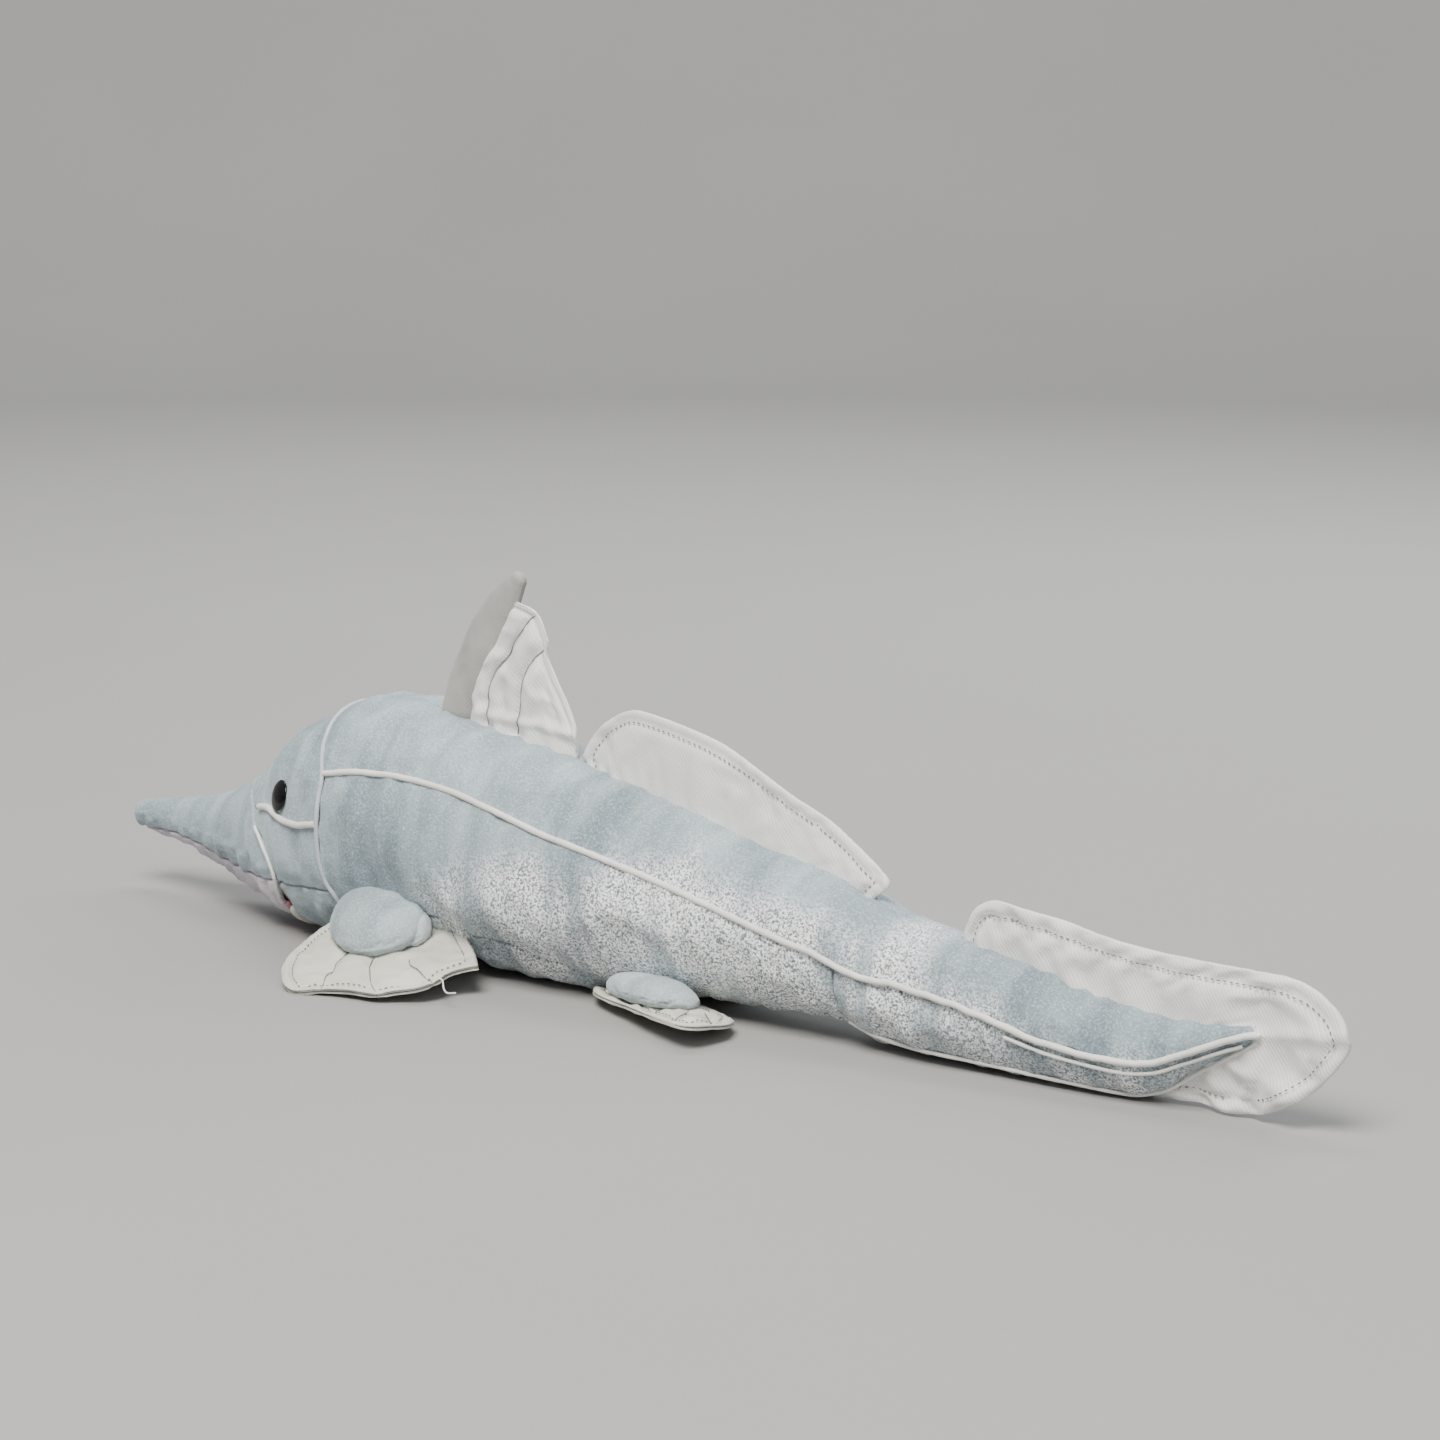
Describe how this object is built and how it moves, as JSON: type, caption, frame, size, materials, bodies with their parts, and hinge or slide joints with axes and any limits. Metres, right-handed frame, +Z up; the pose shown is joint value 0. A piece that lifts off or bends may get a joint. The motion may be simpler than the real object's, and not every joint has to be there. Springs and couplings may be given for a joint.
{
  "type": "plush chimaera",
  "caption": "Stuffed long-nosed ghost shark with a tapering body, pointed snout, padded dorsal spine, sail-like back fin, long low tail fin and fan-shaped side fins.",
  "frame": {"origin": "middle of the outline seen from above, on the floor that the fish lies on", "axes": "+X from the snout towards the tail, +Y towards the fish's right side, +Z up"},
  "size_m": [0.556, 0.1682, 0.1452],
  "materials": {
    "fill": "loose polyester fibre, matte",
    "velvet_blue_grey": "short brushed pile with a silvery sheen",
    "velvet_pale": "short brushed pile, pale",
    "velvet_lobe": "short brushed pile, paler blue-grey",
    "piping_white": "folded satin bias strip",
    "piping_grey": "folded velvet bias strip",
    "lining_pink": "matte woven lining",
    "sateen_white": "off-white sateen with fine diagonal ribs",
    "sateen_grey": "warm grey sateen",
    "fan_cream": "cream cotton, topstitched",
    "eye_black": "polished black safety eye",
    "washer_white": "moulded locking washer"
  },
  "bodies": {
    "root": {"stuffing": "fill", "snout_upper": "velvet_blue_grey", "snout_underside": "velvet_pale", "head_top": "velvet_blue_grey", "throat": "velvet_blue_grey", "belly": "velvet_blue_grey", "cheek_left": "velvet_blue_grey", "cheek_right": "velvet_blue_grey", "back_left": "velvet_blue_grey", "back_right": "velvet_blue_grey", "flank_left": "velvet_blue_grey", "flank_right": "velvet_blue_grey", "tail_flank_left": "velvet_blue_grey", "tail_flank_right": "velvet_blue_grey", "gill_piping": "piping_grey", "lateral_line_left": "piping_white", "lateral_line_right": "piping_white", "cheek_piping_left": "piping_white", "cheek_piping_right": "piping_white", "jaw_piping_left": "piping_white", "jaw_piping_right": "piping_white", "mouth_lining": "lining_pink", "lower_lip": "fan_cream", "eye_left": "eye_black", "eye_right": "eye_black", "eye_washer_left": "washer_white", "eye_washer_right": "washer_white", "dorsal_spine": "sateen_grey", "dorsal_membrane": "sateen_white", "second_dorsal_fin": "sateen_white", "caudal_fin": "sateen_white", "pectoral_fan_left": "fan_cream", "pectoral_fan_right": "fan_cream", "pelvic_fan_left": "fan_cream", "pelvic_fan_right": "fan_cream", "pectoral_lobe_left": "velvet_lobe", "pectoral_lobe_right": "velvet_lobe", "pelvic_lobe_left": "velvet_lobe", "pelvic_lobe_right": "velvet_lobe"}
  },
  "joints": []
}
